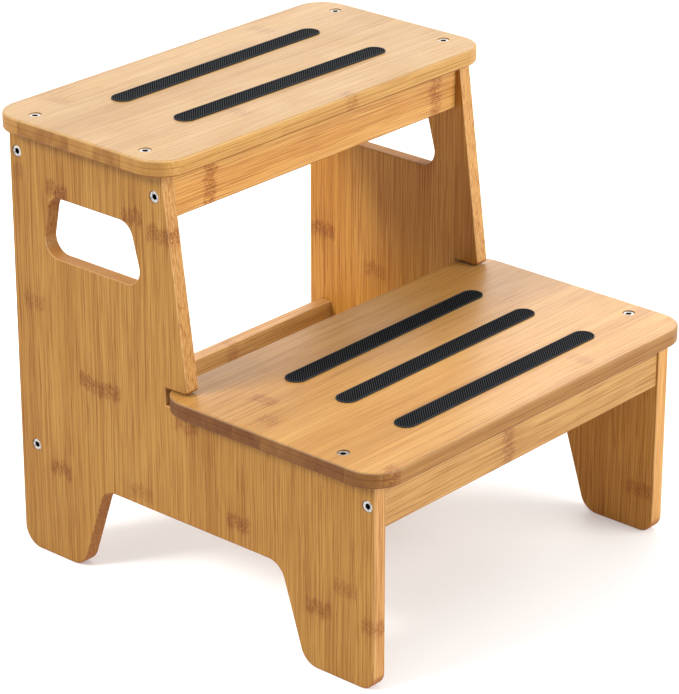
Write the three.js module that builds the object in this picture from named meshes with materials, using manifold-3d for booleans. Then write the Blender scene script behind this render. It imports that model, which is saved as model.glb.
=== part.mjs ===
// Two-step bamboo stool, in millimetres, +Z up, the front of the stool facing -Y.
// The origin is on the floor, midway across the stool and midway between the rear edge of
// the upper tread and the front edge of the lower tread.
//
// Depths are driven by "forward", the distance in front of the side panels' rear edge.

import * as THREE from 'three';
import { mergeVertices } from 'three/addons/utils/BufferGeometryUtils.js';
import Module from 'manifold-3d';

const wasm = await Module();
wasm.setup();

// ---------------------------------------------------------------- driving dimensions

const OVERALL_HEIGHT = 350;
const LOWER_STEP_HEIGHT = 174;
const TREAD_LENGTH = 360;
const TREAD_THICKNESS = 12.5;
const BOARD_THICKNESS = 12;
const PANEL_SPREAD = 338.2; // across the outer faces of the two side panels

const UPPER_TREAD = { rear: -9.6, front: 165.4 };
const LOWER_TREAD = { rear: 153.8, front: 363.6 };
const TREAD_CORNER_RADIUS = 25;
const TREAD_EDGE_ROUND = 1.6;

const PANEL = {
  topFront: 153.8,
  tipFront: 175.7,
  tipRadius: 3,
  front: 351.5,
  edgeRound: 1,
  frontToeRadius: 12,
  footRadius: 16,
  archRadius: 16,
  archHeight: 72.2,
  rearFootBase: 62.9,
  rearFootTop: 87.7,
  frontFootBase: 286.5,
  frontFootTop: 263.4,
};
const NOTCH = { rear: 153.3, overTread: 1.2 };
const HANDLE = {
  bottom: 245.8,
  top: 293.4,
  rearBottom: 31.3,
  rearTop: 40.6,
  frontBottom: 133.8,
  frontTop: 121,
  radius: 13,
};

const RAIL = { height: 37, edgeRound: 1.5 };
const UPPER_FRONT_RAIL_FACE = 150.8;
const UPPER_REAR_RAIL_FACE = 13.4;
const LOWER_FRONT_RAIL_FACE = 350;
const LOWER_REAR_RAIL_FACE = 22.8;
const LOWER_REAR_RAIL_TOP = 103.1;

// The strips are laid by hand, so each sits a little off the middle of the stool (offset,
// towards +X) and one is turned slightly (turn, in degrees).
const STRIP = { length: 220, width: 17, thickness: 0.8, bond: 0.1 };
const UPPER_STRIPS = [
  { name: 'rear', forward: 44.3, offset: 5.5, turn: 0 },
  { name: 'front', forward: 110, offset: 5, turn: -1 },
];
const LOWER_STRIPS = [
  { name: 'rear', forward: 208.8, offset: 9.5, turn: 0.8 },
  { name: 'middle', forward: 260.2, offset: 7.4, turn: 0.4 },
  { name: 'front', forward: 319, offset: 3.3, turn: 0 },
];

const SCREW = {
  head: 8.8,
  headDepth: 2.9,
  rim: 0.5,
  sink: 0.7,
  shank: 5.8,
  tip: 2.4,
  tipTaper: 4,
  socket: 4,
  socketDepth: 2.4,
};
const SIDE_SCREW_LENGTH = 50;
const TREAD_SCREW_LENGTH = 40;
const UPPER_TREAD_SCREWS = { rear: 22.2, front: 133.1 };
const LOWER_TREAD_SCREW = 317.8;

const CLEARANCE = 0.3; // between a piece and the neighbour it touches or passes through
const OVERRUN = 1; // how far a cutting tool runs past the surface it opens
const ROUND_STEPS = 5;
const EDGE_STEPS = 2;
const SCREW_SIDES = 16;

// ---------------------------------------------------------------- derived dimensions

const MIDDLE = (UPPER_TREAD.rear + LOWER_TREAD.front) / 2;
const PANEL_TOP = OVERALL_HEIGHT - TREAD_THICKNESS - CLEARANCE;
const SHOULDER = LOWER_STEP_HEIGHT - TREAD_THICKNESS - CLEARANCE;
const PANEL_OUTER = PANEL_SPREAD / 2;
const PANEL_CENTRE = PANEL_OUTER - BOARD_THICKNESS / 2;
const PANEL_INNER = PANEL_OUTER - BOARD_THICKNESS;
const RAIL_LENGTH = 2 * (PANEL_INNER - CLEARANCE);
const SCREW_HOLE = SCREW.shank / 2 + CLEARANCE;

const alongY = (forward) => MIDDLE - forward;

// ---------------------------------------------------------------- materials

const bamboo = (color) => new THREE.MeshStandardMaterial({ color, roughness: 0.5, metalness: 0 });
const SIDE_BAMBOO = bamboo(0xc08a4c);
const UPPER_BAMBOO = bamboo(0xe3bd8b);
const LOWER_BAMBOO = bamboo(0xdcae74);
const RAIL_BAMBOO = bamboo(0xd19c58);
const GRIP = new THREE.MeshStandardMaterial({ color: 0x1e1f21, roughness: 0.8, metalness: 0 });
const STEEL = new THREE.MeshStandardMaterial({ color: 0xb9bcc0, roughness: 0.25, metalness: 1 });

// ---------------------------------------------------------------- solid helpers

function toSolid(geometry) {
  const bare = geometry.clone();
  bare.deleteAttribute('normal');
  bare.deleteAttribute('uv');
  const welded = mergeVertices(bare, 1e-4);
  const vertProperties = new Float32Array(welded.attributes.position.array);
  const triVerts = new Uint32Array(welded.index.array);
  return new wasm.Manifold(new wasm.Mesh({ numProp: 3, vertProperties, triVerts }));
}

function toGeometry(solid) {
  const mesh = solid.getMesh();
  const geometry = new THREE.BufferGeometry();
  geometry.setAttribute('position', new THREE.BufferAttribute(mesh.vertProperties, 3));
  geometry.setIndex(new THREE.BufferAttribute(mesh.triVerts, 1));
  geometry.computeVertexNormals();
  return geometry;
}

function cut(geometry, tools) {
  let solid = toSolid(geometry);
  for (const tool of tools) {
    solid = solid.subtract(toSolid(tool));
  }
  return toGeometry(solid);
}

// A closed outline through corner points {x, y, r}: a corner with a radius becomes an arc.
function roundedOutline(corners, OutlineClass = THREE.Shape) {
  const outline = new OutlineClass();
  corners.forEach((corner, index) => {
    const here = new THREE.Vector2(corner.x, corner.y);
    const before = corners[(index + corners.length - 1) % corners.length];
    const after = corners[(index + 1) % corners.length];
    const back = new THREE.Vector2(before.x, before.y).sub(here).normalize();
    const ahead = new THREE.Vector2(after.x, after.y).sub(here).normalize();
    const halfAngle = Math.acos(back.dot(ahead)) / 2;
    if (corner.r) {
      const reach = corner.r / Math.tan(halfAngle);
      const start = here.clone().addScaledVector(back, reach);
      const end = here.clone().addScaledVector(ahead, reach);
      const bisector = back.clone().add(ahead).normalize();
      const centre = here.clone().addScaledVector(bisector, corner.r / Math.sin(halfAngle));
      const from = Math.atan2(start.y - centre.y, start.x - centre.x);
      const to = Math.atan2(end.y - centre.y, end.x - centre.x);
      const clockwise = back.cross(ahead) > 0;
      outline.absarc(centre.x, centre.y, corner.r, from, to, clockwise);
    } else if (index === 0) {
      outline.moveTo(here.x, here.y);
    } else {
      outline.lineTo(here.x, here.y);
    }
  });
  outline.closePath();
  return outline;
}

// A board with its broad faces at local z = 0 and z = thickness, and softly rounded edges.
function board(outline, thickness, edgeRound) {
  const geometry = new THREE.ExtrudeGeometry(outline, {
    depth: thickness - 2 * edgeRound,
    curveSegments: ROUND_STEPS,
    bevelEnabled: true,
    bevelThickness: edgeRound,
    bevelSize: edgeRound,
    bevelOffset: -edgeRound,
    bevelSegments: EDGE_STEPS,
  });
  return geometry.translate(0, 0, edgeRound);
}

// ---------------------------------------------------------------- screws and their holes

// Every screw and screw hole is made along local -Z, with the board's face at z = 0.
function screwHole(depth) {
  const mouth = SCREW.head / 2 + CLEARANCE;
  const coneFoot = SCREW.sink + SCREW.headDepth + CLEARANCE;
  return new THREE.LatheGeometry([
    new THREE.Vector2(0, -depth),
    new THREE.Vector2(SCREW_HOLE, -depth),
    new THREE.Vector2(SCREW_HOLE, -coneFoot),
    new THREE.Vector2(mouth, -(SCREW.sink + 2 * CLEARANCE)),
    new THREE.Vector2(mouth, OVERRUN),
    new THREE.Vector2(0, OVERRUN),
  ], SCREW_SIDES);
}

function screwBody(length) {
  const top = -SCREW.sink;
  const socketReach = SCREW.socket / 2 / Math.cos(Math.PI / 6);
  const body = new THREE.LatheGeometry([
    new THREE.Vector2(0, top - length),
    new THREE.Vector2(SCREW.tip / 2, top - length),
    new THREE.Vector2(SCREW.shank / 2, top - length + SCREW.tipTaper),
    new THREE.Vector2(SCREW.shank / 2, top - SCREW.headDepth),
    new THREE.Vector2(SCREW.head / 2, top - SCREW.rim),
    new THREE.Vector2(SCREW.head / 2, top),
    new THREE.Vector2(0, top),
  ], SCREW_SIDES);
  const socketLength = SCREW.socketDepth + OVERRUN;
  const socket = new THREE.CylinderGeometry(socketReach, socketReach, socketLength, 6);
  socket.rotateX(Math.PI / 2);
  socket.translate(0, 0, top + OVERRUN - socketLength / 2);
  body.rotateX(Math.PI / 2);
  return cut(body, [socket]);
}

// Moves a shape made along local -Z so that it points the way a screw is driven at a place.
const DRIVES = {
  down: new THREE.Matrix4(),
  right: new THREE.Matrix4().makeRotationY(-Math.PI / 2),
  left: new THREE.Matrix4().makeRotationY(Math.PI / 2),
};

function drillAt(place) {
  const tool = screwHole(SCREW.sink + place.length + OVERRUN).rotateX(Math.PI / 2);
  tool.applyMatrix4(DRIVES[place.drive]);
  return tool.translate(place.x, place.y, place.z);
}

function screwAt(place) {
  const mesh = new THREE.Mesh(screwBody(place.length), STEEL);
  mesh.name = place.name;
  mesh.applyMatrix4(DRIVES[place.drive]);
  mesh.position.set(place.x, place.y, place.z);
  return mesh;
}

// ---------------------------------------------------------------- where the pieces go

// Where each rail stands, and how far its screws sit forward of and above its middle.
const RAILS = [
  { name: 'upper_front_rail', face: UPPER_FRONT_RAIL_FACE, top: PANEL_TOP, forward: 1.6, above: 0.8 },
  { name: 'upper_rear_rail', face: UPPER_REAR_RAIL_FACE, top: PANEL_TOP, forward: 0, above: 1.2 },
  { name: 'lower_front_rail', face: LOWER_FRONT_RAIL_FACE, top: SHOULDER, forward: 0.7, above: 0.7 },
  {
    name: 'lower_rear_rail',
    face: LOWER_REAR_RAIL_FACE,
    top: LOWER_REAR_RAIL_TOP,
    forward: -0.8,
    above: 2.8,
  },
];

const SIDES = [
  { name: 'left', sign: -1, drive: 'right' },
  { name: 'right', sign: 1, drive: 'left' },
];

function sideScrews(side) {
  return RAILS.map((rail) => ({
    name: `${side.name}_${rail.name}_screw`,
    drive: side.drive,
    length: SIDE_SCREW_LENGTH,
    x: side.sign * PANEL_OUTER,
    y: alongY(rail.face - BOARD_THICKNESS / 2 + rail.forward),
    z: rail.top - RAIL.height / 2 + rail.above,
  }));
}

function treadScrew(side, name, forward, height) {
  return {
    name: `${side.name}_${name}_screw`,
    drive: 'down',
    length: TREAD_SCREW_LENGTH,
    x: side.sign * PANEL_CENTRE,
    y: alongY(forward),
    z: height,
  };
}

const upperTreadScrews = (side) => [
  treadScrew(side, 'upper_tread_rear', UPPER_TREAD_SCREWS.rear, OVERALL_HEIGHT),
  treadScrew(side, 'upper_tread_front', UPPER_TREAD_SCREWS.front, OVERALL_HEIGHT),
];
const lowerTreadScrews = (side) => [
  treadScrew(side, 'lower_tread', LOWER_TREAD_SCREW, LOWER_STEP_HEIGHT),
];

// ---------------------------------------------------------------- boards

// The panel's outline in (forward, height), from the rear foot round to the rear top corner.
function panelOutline() {
  const tipUnderside = LOWER_STEP_HEIGHT + NOTCH.overTread;
  const outline = roundedOutline([
    { x: 0, y: 0, r: PANEL.footRadius },
    { x: PANEL.rearFootBase, y: 0, r: PANEL.footRadius },
    { x: PANEL.rearFootTop, y: PANEL.archHeight, r: PANEL.archRadius },
    { x: PANEL.frontFootTop, y: PANEL.archHeight, r: PANEL.archRadius },
    { x: PANEL.frontFootBase, y: 0, r: PANEL.footRadius },
    { x: PANEL.front, y: 0, r: PANEL.frontToeRadius },
    { x: PANEL.front, y: SHOULDER },
    { x: NOTCH.rear, y: SHOULDER },
    { x: NOTCH.rear, y: tipUnderside },
    { x: PANEL.tipFront, y: tipUnderside, r: PANEL.tipRadius },
    { x: PANEL.topFront, y: PANEL_TOP },
    { x: 0, y: PANEL_TOP },
  ]);
  outline.holes.push(roundedOutline([
    { x: HANDLE.rearBottom, y: HANDLE.bottom, r: HANDLE.radius },
    { x: HANDLE.rearTop, y: HANDLE.top, r: HANDLE.radius },
    { x: HANDLE.frontTop, y: HANDLE.top, r: HANDLE.radius },
    { x: HANDLE.frontBottom, y: HANDLE.bottom, r: HANDLE.radius },
  ], THREE.Path));
  return outline;
}

// Turns a board drawn in (forward, height) into one that stands across X.
function standAcross(geometry, x) {
  const turn = new THREE.Matrix4().makeBasis(
    new THREE.Vector3(0, -1, 0),
    new THREE.Vector3(0, 0, 1),
    new THREE.Vector3(-1, 0, 0),
  );
  return geometry.applyMatrix4(turn).translate(x + BOARD_THICKNESS / 2, MIDDLE, 0);
}

function sidePanel(side) {
  const blank = board(panelOutline(), BOARD_THICKNESS, PANEL.edgeRound);
  const standing = standAcross(blank, side.sign * PANEL_CENTRE);
  const screws = [...sideScrews(side), ...upperTreadScrews(side), ...lowerTreadScrews(side)];
  const mesh = new THREE.Mesh(cut(standing, screws.map(drillAt)), SIDE_BAMBOO);
  mesh.name = `${side.name}_side_panel`;
  return mesh;
}

function tread(name, edges, height, screws, material) {
  const half = TREAD_LENGTH / 2;
  const radius = TREAD_CORNER_RADIUS;
  const outline = roundedOutline([
    { x: -half, y: alongY(edges.front), r: radius },
    { x: half, y: alongY(edges.front), r: radius },
    { x: half, y: alongY(edges.rear), r: radius },
    { x: -half, y: alongY(edges.rear), r: radius },
  ]);
  const blank = board(outline, TREAD_THICKNESS, TREAD_EDGE_ROUND);
  blank.translate(0, 0, height - TREAD_THICKNESS);
  const mesh = new THREE.Mesh(cut(blank, screws.map(drillAt)), material);
  mesh.name = name;
  return mesh;
}

// A cross rail is a square-ended bar with its long edges rounded, drilled at both ends.
function rail(spec) {
  const radius = RAIL.edgeRound;
  const section = roundedOutline([
    { x: spec.face, y: spec.top - RAIL.height, r: radius },
    { x: spec.face, y: spec.top, r: radius },
    { x: spec.face - BOARD_THICKNESS, y: spec.top, r: radius },
    { x: spec.face - BOARD_THICKNESS, y: spec.top - RAIL.height, r: radius },
  ]);
  const bar = new THREE.ExtrudeGeometry(section, {
    depth: RAIL_LENGTH,
    curveSegments: EDGE_STEPS,
    bevelEnabled: false,
  });
  const standing = standAcross(bar, RAIL_LENGTH / 2 - BOARD_THICKNESS / 2);
  const ownScrews = SIDES.flatMap(sideScrews).filter((screw) => screw.name.includes(spec.name));
  const mesh = new THREE.Mesh(cut(standing, ownScrews.map(drillAt)), RAIL_BAMBOO);
  mesh.name = spec.name;
  return mesh;
}

// A grip strip is a thin stadium with its length across the stool, bonded to a tread.
function gripStrip(name, spec, height) {
  const radius = STRIP.width / 2;
  const reach = STRIP.length / 2 - radius;
  const outline = new THREE.Shape();
  outline.absarc(reach, 0, radius, -Math.PI / 2, Math.PI / 2, false);
  outline.absarc(-reach, 0, radius, Math.PI / 2, 1.5 * Math.PI, false);
  outline.closePath();
  const geometry = new THREE.ExtrudeGeometry(outline, {
    depth: STRIP.thickness,
    curveSegments: ROUND_STEPS,
    bevelEnabled: false,
  });
  const mesh = new THREE.Mesh(geometry, GRIP);
  mesh.name = name;
  mesh.rotation.z = THREE.MathUtils.degToRad(spec.turn);
  mesh.position.set(spec.offset, alongY(spec.forward), height + STRIP.bond);
  return mesh;
}

// ---------------------------------------------------------------- assembly

const stool = new THREE.Group();
stool.name = 'step_stool';

for (const side of SIDES) {
  stool.add(sidePanel(side));
}
stool.add(tread(
  'upper_tread', UPPER_TREAD, OVERALL_HEIGHT, SIDES.flatMap(upperTreadScrews), UPPER_BAMBOO,
));
stool.add(tread(
  'lower_tread', LOWER_TREAD, LOWER_STEP_HEIGHT, SIDES.flatMap(lowerTreadScrews), LOWER_BAMBOO,
));
for (const spec of RAILS) {
  stool.add(rail(spec));
}
for (const spec of UPPER_STRIPS) {
  stool.add(gripStrip(`upper_${spec.name}_grip_strip`, spec, OVERALL_HEIGHT));
}
for (const spec of LOWER_STRIPS) {
  stool.add(gripStrip(`lower_${spec.name}_grip_strip`, spec, LOWER_STEP_HEIGHT));
}
for (const side of SIDES) {
  const places = [...sideScrews(side), ...upperTreadScrews(side), ...lowerTreadScrews(side)];
  for (const place of places) {
    stool.add(screwAt(place));
  }
}

export default stool;
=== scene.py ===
"""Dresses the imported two-step bamboo stool: boards, rails, screws, grip strips, floor and light.

Lengths are in metres. "Forward" is the distance in front of the side panels' rear edge, and the
front of the stool faces -Y.
"""

import logging
import math
from dataclasses import dataclass, field
from enum import Enum
from typing import Sequence, Union

import bmesh
import bpy
from mathutils import Matrix, Vector
from mathutils.geometry import tessellate_polygon


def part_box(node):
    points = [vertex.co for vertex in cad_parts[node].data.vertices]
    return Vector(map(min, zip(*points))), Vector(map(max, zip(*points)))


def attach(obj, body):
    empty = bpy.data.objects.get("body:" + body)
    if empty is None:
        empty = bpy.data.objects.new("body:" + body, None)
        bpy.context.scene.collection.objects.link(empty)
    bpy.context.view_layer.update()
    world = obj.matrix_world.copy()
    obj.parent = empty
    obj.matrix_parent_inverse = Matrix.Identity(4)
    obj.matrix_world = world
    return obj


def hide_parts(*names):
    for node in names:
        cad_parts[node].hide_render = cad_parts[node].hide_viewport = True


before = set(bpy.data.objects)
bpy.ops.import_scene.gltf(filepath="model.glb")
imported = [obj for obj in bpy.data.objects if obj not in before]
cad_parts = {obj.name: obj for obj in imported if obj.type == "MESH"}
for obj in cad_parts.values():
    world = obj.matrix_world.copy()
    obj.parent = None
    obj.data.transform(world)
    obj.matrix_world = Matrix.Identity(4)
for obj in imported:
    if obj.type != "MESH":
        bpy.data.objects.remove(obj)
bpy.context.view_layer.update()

LOG = logging.getLogger("step_stool")
MM = 0.001
BODY = "root"
CREST = "crest"
HOLLOW = "hollow"
HERE = Matrix.Identity(4)

Colour = tuple[float, float, float]
Between = tuple[float, float]
Triple = tuple[float, float, float]
Values = tuple[float, ...]
Socket = bpy.types.NodeSocket
Sockets = dict[str, Socket]
Shape = bpy.types.Object
Solid = bmesh.types.BMesh
Wire = Union[float, Vector, tuple, Socket]


def from_srgb(red: int, green: int, blue: int) -> Colour:
    """Turns an 8-bit display colour into scene-linear values.

    Args:
        red: Red, 0 to 255.
        green: Green, 0 to 255.
        blue: Blue, 0 to 255.

    Returns:
        The linear colour.
    """
    def linear(value: int) -> float:
        """Decodes one channel by the sRGB curve."""
        share = value / 255
        return share / 12.92 if share <= 0.04045 else ((share + 0.055) / 1.055) ** 2.4
    return linear(red), linear(green), linear(blue)


def nodes_named(ending: str) -> tuple[str, ...]:
    """The CAD nodes whose names end so, in order."""
    return tuple(sorted(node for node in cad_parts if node.endswith(ending)))


# ---------------------------------------------------------------- outlines and solids


@dataclass(frozen=True)
class Corner:
    """One corner of an outline, with the radius that rounds it."""

    x: float
    y: float
    radius: float = 0.0

    @property
    def place(self) -> Vector:
        """The corner's place in the outline's plane."""
        return Vector((self.x, self.y))


@dataclass(frozen=True)
class RimPoint:
    """A point of an outline, and the way it moves when the outline shrinks by one unit."""

    place: Vector
    inward: Vector


@dataclass(frozen=True)
class Level:
    """One ring of a solid: how far it is set in from the outline, and how high it lies."""

    inset: float
    height: float


def left_of(direction: Vector) -> Vector:
    """The unit vector a quarter turn to the left of a direction."""
    return Vector((-direction.y, direction.x))


def four_corners(low: Sequence[float], high: Sequence[float], radius: float) -> list[Corner]:
    """A rectangle's corners, counter-clockwise from the lowest."""
    places = ((low[0], low[1]), (high[0], low[1]), (high[0], high[1]), (low[0], high[1]))
    return [Corner(x, y, radius) for x, y in places]


def rounded_outline(corners: Sequence[Corner], arc_steps: int) -> list[RimPoint]:
    """Walks round an outline with the solid on its left, and rounds its corners.

    Args:
        corners: The corners in order, counter-clockwise outside and clockwise round a hole.
        arc_steps: Segments in each rounded corner.

    Returns:
        The outline's points.
    """
    points: list[RimPoint] = []
    for index, corner in enumerate(corners):
        arriving = (corner.place - corners[index - 1].place).normalized()
        leaving = (corners[(index + 1) % len(corners)].place - corner.place).normalized()
        before, after = left_of(arriving), left_of(leaving)
        if corner.radius == 0:
            points.append(RimPoint(corner.place, (before + after) / (1 + before.dot(after))))
            continue
        turn = math.atan2(arriving.cross(leaving), arriving.dot(leaving))
        side = math.copysign(1.0, turn)
        start = corner.place - arriving * corner.radius * math.tan(abs(turn) / 2)
        centre = start + before * side * corner.radius
        for step in range(arc_steps + 1):
            spoke = Matrix.Rotation(turn * step / arc_steps, 2) @ (start - centre)
            points.append(RimPoint(centre + spoke, spoke * -side / corner.radius))
    return points


def rounded_levels(thickness: float, edge_round: float, steps: int) -> list[Level]:
    """The rings of a flat board whose edges are rounded.

    Args:
        thickness: The board's thickness.
        edge_round: The radius on its edges.
        steps: Segments in each rounded edge.

    Returns:
        Rings from the lower face to the upper face.
    """
    lower = []
    for step in range(steps + 1):
        angle = math.pi / 2 * step / steps
        lower.append(Level(edge_round * (1 - math.sin(angle)), edge_round * (1 - math.cos(angle))))
    upper = [Level(level.inset, thickness - level.height) for level in reversed(lower)]
    return lower + upper


def solid_from_levels(outlines: Sequence[Sequence[RimPoint]], levels: Sequence[Level]) -> Solid:
    """Builds a closed solid from an outline, any holes in it, and a stack of rings.

    Args:
        outlines: The outer outline, then the holes.
        levels: The rings, from the first closed face to the last.

    Returns:
        The solid, flat in its own XY plane.
    """
    solid = bmesh.new()
    caps: dict[int, list[list[bmesh.types.BMVert]]] = {0: [], len(levels) - 1: []}
    for outline in outlines:
        rings = []
        for level in levels:
            flat = [point.place + point.inward * level.inset for point in outline]
            rings.append([solid.verts.new((*place, level.height)) for place in flat])
        for lower, upper in zip(rings, rings[1:]):
            for index in range(len(outline)):
                solid.faces.new((lower[index - 1], lower[index], upper[index], upper[index - 1]))
        for cap in caps:
            caps[cap].append(rings[cap])
    for rings in caps.values():
        corners = [vertex for ring in rings for vertex in ring]
        for triangle in tessellate_polygon([[vertex.co for vertex in ring] for ring in rings]):
            solid.faces.new([corners[index] for index in triangle])
    bmesh.ops.recalc_face_normals(solid, faces=solid.faces)
    return solid


def turned_solid(profile: Sequence[tuple[float, float]], sides: int) -> Solid:
    """Turns a profile round the Z axis into a closed solid.

    Args:
        profile: (radius, height) pairs whose first and last radius are 0.
        sides: Segments round the axis.

    Returns:
        The solid.
    """
    solid = bmesh.new()
    angles = [math.tau * side / sides for side in range(sides)]
    rings = []
    for radius, height in profile:
        if radius == 0:
            rings.append([solid.verts.new((0, 0, height))] * sides)
            continue
        places = [(radius * math.cos(angle), radius * math.sin(angle), height) for angle in angles]
        rings.append([solid.verts.new(place) for place in places])
    for lower, upper in zip(rings, rings[1:]):
        for index in range(sides):
            around = (lower[index - 1], lower[index], upper[index], upper[index - 1])
            solid.faces.new(tuple(dict.fromkeys(around)))
    bmesh.ops.recalc_face_normals(solid, faces=solid.faces)
    return solid


def in_scene(name: str, data: bpy.types.ID) -> Shape:
    """Puts a new object in the scene, at the origin.

    Args:
        name: The object's name.
        data: Its mesh, light or camera.

    Returns:
        The object.
    """
    made = bpy.data.objects.new(name, data)
    bpy.context.scene.collection.objects.link(made)
    return made


def as_object(solid: Solid, name: str, placing: Matrix = HERE) -> Shape:
    """Puts a solid in the scene, with its place in its mesh.

    Args:
        solid: The solid, freed here.
        name: The object's name.
        placing: Moves the solid to its place.

    Returns:
        The object, at the origin.
    """
    mesh = bpy.data.meshes.new(name)
    solid.to_mesh(mesh)
    solid.free()
    mesh.transform(placing)
    return in_scene(name, mesh)


def copied(pattern: Shape, name: str, placing: Matrix) -> Shape:
    """Copies a pattern's mesh to its place.

    Args:
        pattern: The object to copy.
        name: The copy's name.
        placing: Moves the copy to its place.

    Returns:
        The copy, at the origin.
    """
    mesh = pattern.data.copy()
    mesh.name = name
    mesh.transform(placing)
    return in_scene(name, mesh)


def settle(made: Shape) -> None:
    """Turns an object's modifiers into a plain mesh, and removes them.

    Args:
        made: The object.
    """
    depsgraph = bpy.context.evaluated_depsgraph_get()
    finished = bpy.data.meshes.new_from_object(made.evaluated_get(depsgraph), depsgraph=depsgraph)
    made.modifiers.clear()
    spare = made.data
    made.data = finished
    bpy.data.meshes.remove(spare)
    finished.name = made.name


def remove(made: Shape) -> None:
    """Takes an object and its mesh out of the scene.

    Args:
        made: The object.
    """
    spare = made.data
    bpy.data.objects.remove(made)
    bpy.data.meshes.remove(spare)


def carve(made: Shape, cutters: Sequence[Shape], operation: str = "DIFFERENCE") -> None:
    """Cuts an object with other shapes, and removes them.

    Args:
        made: The object to cut.
        cutters: Closed shapes to cut with.
        operation: DIFFERENCE takes the shapes away, INTERSECT keeps only what is inside them.
    """
    for cutter in cutters:
        modifier = made.modifiers.new(cutter.name, "BOOLEAN")
        modifier.operation = operation
        modifier.solver = "EXACT"
        modifier.object = cutter
    settle(made)
    for cutter in cutters:
        remove(cutter)


def join(made: Shape, other: Shape) -> None:
    """Moves another object's mesh into an object, and removes the other object.

    Args:
        made: The object that grows.
        other: The object it takes in.
    """
    both = bmesh.new()
    both.from_mesh(made.data)
    both.from_mesh(other.data)
    both.to_mesh(made.data)
    both.free()
    remove(other)


def smooth(made: Shape, crease: float = 38) -> None:
    """Shades an object smooth, keeping its flats flat and its creases sharp.

    Args:
        made: The object to shade.
        crease: The angle in degrees past which an edge stays sharp.
    """
    made.data.shade_smooth()
    made.data.set_sharp_from_angle(angle=math.radians(crease))
    modifier = made.modifiers.new("flats", "WEIGHTED_NORMAL")
    modifier.keep_sharp = True
    modifier.weight = 100
    settle(made)


def dress(made: Shape, material: bpy.types.Material, node: str) -> None:
    """Gives a finished piece its material, hangs it on the stool's body and hides the CAD node it stands for.

    Args:
        made: The finished piece.
        material: Its material.
        node: The CAD node it stands for.
    """
    made.data.materials.clear()
    made.data.materials.append(material)
    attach(made, BODY)
    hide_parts(node)
    LOG.info("%s: %d faces", made.name, len(made.data.polygons))


# ---------------------------------------------------------------- node graphs


class Kind(Enum):
    """The kinds of value that a tree's sockets carry."""

    NUMBER = "NodeSocketFloat"
    VECTOR = "NodeSocketVector"
    SHAPE = "NodeSocketGeometry"
    MATERIAL = "NodeSocketMaterial"


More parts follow.
